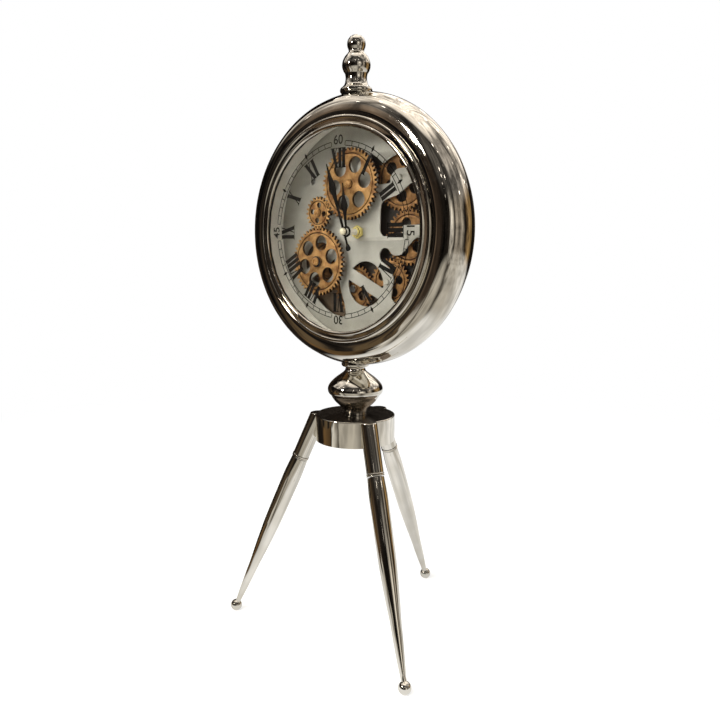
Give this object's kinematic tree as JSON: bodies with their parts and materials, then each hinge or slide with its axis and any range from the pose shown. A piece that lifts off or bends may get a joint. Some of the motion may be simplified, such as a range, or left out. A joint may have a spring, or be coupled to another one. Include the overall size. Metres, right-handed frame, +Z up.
{
  "type": "table clock",
  "caption": "Round open-geared table clock in dark polished metal, with a turned finial and neck, on three splayed ball-footed legs.",
  "frame": {"origin": "on the resting plane under the middle of the bounding box", "axes": "+Z up, -Y out of the dial, +X to the right as the dial is seen from the front"},
  "size_m": [0.232, 0.1856, 0.5248],
  "materials": {
    "gunmetal": "polished dark nickel plate",
    "plate_steel": "satin nickel-plated steel",
    "screw_steel": "turned steel",
    "gear_brass": "stamped and lacquered brass",
    "turned_brass": "turned brass",
    "tube_nickel": "bright nickel",
    "hand_black": "black paint",
    "washer_black": "black oxide",
    "gasket_rubber": "black rubber",
    "glass_clear": "clear with a black print on its back",
    "box_plastic": "moulded black plastic",
    "cell_jacket": "printed foil jacket, plain"
  },
  "bodies": {
    "stand_and_case": {"front_case": "gunmetal", "rear_case": "gunmetal", "bezel": "gunmetal", "rear_cover": "gunmetal", "finial": "gunmetal", "neck": "gunmetal", "tripod_head": "gunmetal", "leg_right": "gunmetal", "leg_back": "gunmetal", "leg_left": "gunmetal", "leg_collar_right": "gunmetal", "leg_collar_back": "gunmetal", "leg_collar_left": "gunmetal", "dial_plate": "plate_steel", "gear_bridge": "plate_steel", "dial_liner": "plate_steel", "pillar_1": "plate_steel", "pillar_2": "plate_steel", "pillar_3": "plate_steel", "bezel_screw_1": "screw_steel", "bezel_screw_2": "screw_steel", "bezel_screw_3": "screw_steel", "plate_screw_1": "screw_steel", "plate_screw_2": "screw_steel", "plate_screw_3": "screw_steel", "cover_screw_1": "screw_steel", "cover_screw_2": "screw_steel", "cover_screw_3": "screw_steel", "finial_nut": "screw_steel", "neck_bolt": "screw_steel", "neck_nut": "screw_steel", "mid_stud": "screw_steel", "side_stud": "screw_steel", "top_stud": "screw_steel", "low_stud": "screw_steel", "gear_motor": "screw_steel", "idler_stud": "turned_brass", "upper_stud": "turned_brass", "hex_nut": "turned_brass", "glass_gasket": "gasket_rubber", "glass": "glass_clear", "movement_case": "box_plastic", "battery": "cell_jacket"},
    "drive_train": {"drive_arbor": "screw_steel", "gear_lower": "gear_brass", "rear_gear_drive": "gear_brass", "drive_washer": "washer_black", "drive_screw": "turned_brass"},
    "idler": {"gear_idler": "gear_brass"},
    "upper": {"gear_upper": "gear_brass"},
    "rear_low": {"rear_gear_low": "gear_brass"},
    "rear_mid": {"rear_gear_mid": "gear_brass"},
    "rear_side": {"rear_gear_side": "gear_brass"},
    "rear_top": {"rear_gear_top": "gear_brass"},
    "minute": {"minute_shaft": "screw_steel", "minute_hand": "hand_black", "dome_nut": "turned_brass", "setting_knob": "box_plastic"},
    "hour": {"hour_tube": "tube_nickel", "hour_hand": "hand_black"}
  },
  "joints": [
    {"name": "drive_spin", "type": "hinge", "parent": "stand_and_case", "child": "drive_train", "pos_m": [-0.0418, -0.03268, 0.33575], "axis": [0, 1, 0], "continuous": true},
    {"name": "idler_spin", "type": "hinge", "parent": "stand_and_case", "child": "idler", "pos_m": [-0.04119, -0.03268, 0.37929], "axis": [0, 1, 0], "continuous": true},
    {"name": "upper_spin", "type": "hinge", "parent": "stand_and_case", "child": "upper", "pos_m": [-0.00438, -0.03268, 0.40256], "axis": [0, 1, 0], "continuous": true},
    {"name": "rear_low_spin", "type": "hinge", "parent": "stand_and_case", "child": "rear_low", "pos_m": [-0.0085, -0.02067, 0.31191], "axis": [0, 1, 0], "continuous": true},
    {"name": "rear_mid_spin", "type": "hinge", "parent": "stand_and_case", "child": "rear_mid", "pos_m": [0.03182, -0.02067, 0.31902], "axis": [0, 1, 0], "continuous": true},
    {"name": "rear_side_spin", "type": "hinge", "parent": "stand_and_case", "child": "rear_side", "pos_m": [0.05094, -0.02067, 0.3567], "axis": [0, 1, 0], "continuous": true},
    {"name": "rear_top_spin", "type": "hinge", "parent": "stand_and_case", "child": "rear_top", "pos_m": [0.04441, -0.02067, 0.40567], "axis": [0, 1, 0], "continuous": true},
    {"name": "minute_spin", "type": "hinge", "parent": "stand_and_case", "child": "minute", "pos_m": [0, -0.04478, 0.3617], "axis": [0, 1, 0], "continuous": true},
    {"name": "hour_spin", "type": "hinge", "parent": "stand_and_case", "child": "hour", "pos_m": [0, -0.04158, 0.3617], "axis": [0, 1, 0], "continuous": true}
  ],
  "couplings": [
    {"joint": "idler_spin", "follows": "drive_spin", "ratio": -2.1905},
    {"joint": "upper_spin", "follows": "drive_spin", "ratio": 1},
    {"joint": "rear_low_spin", "follows": "drive_spin", "ratio": -0.90909},
    {"joint": "rear_mid_spin", "follows": "drive_spin", "ratio": 1},
    {"joint": "rear_side_spin", "follows": "drive_spin", "ratio": -0.85714},
    {"joint": "rear_top_spin", "follows": "drive_spin", "ratio": 0.73171},
    {"joint": "hour_spin", "follows": "minute_spin", "ratio": 0.083333}
  ]
}
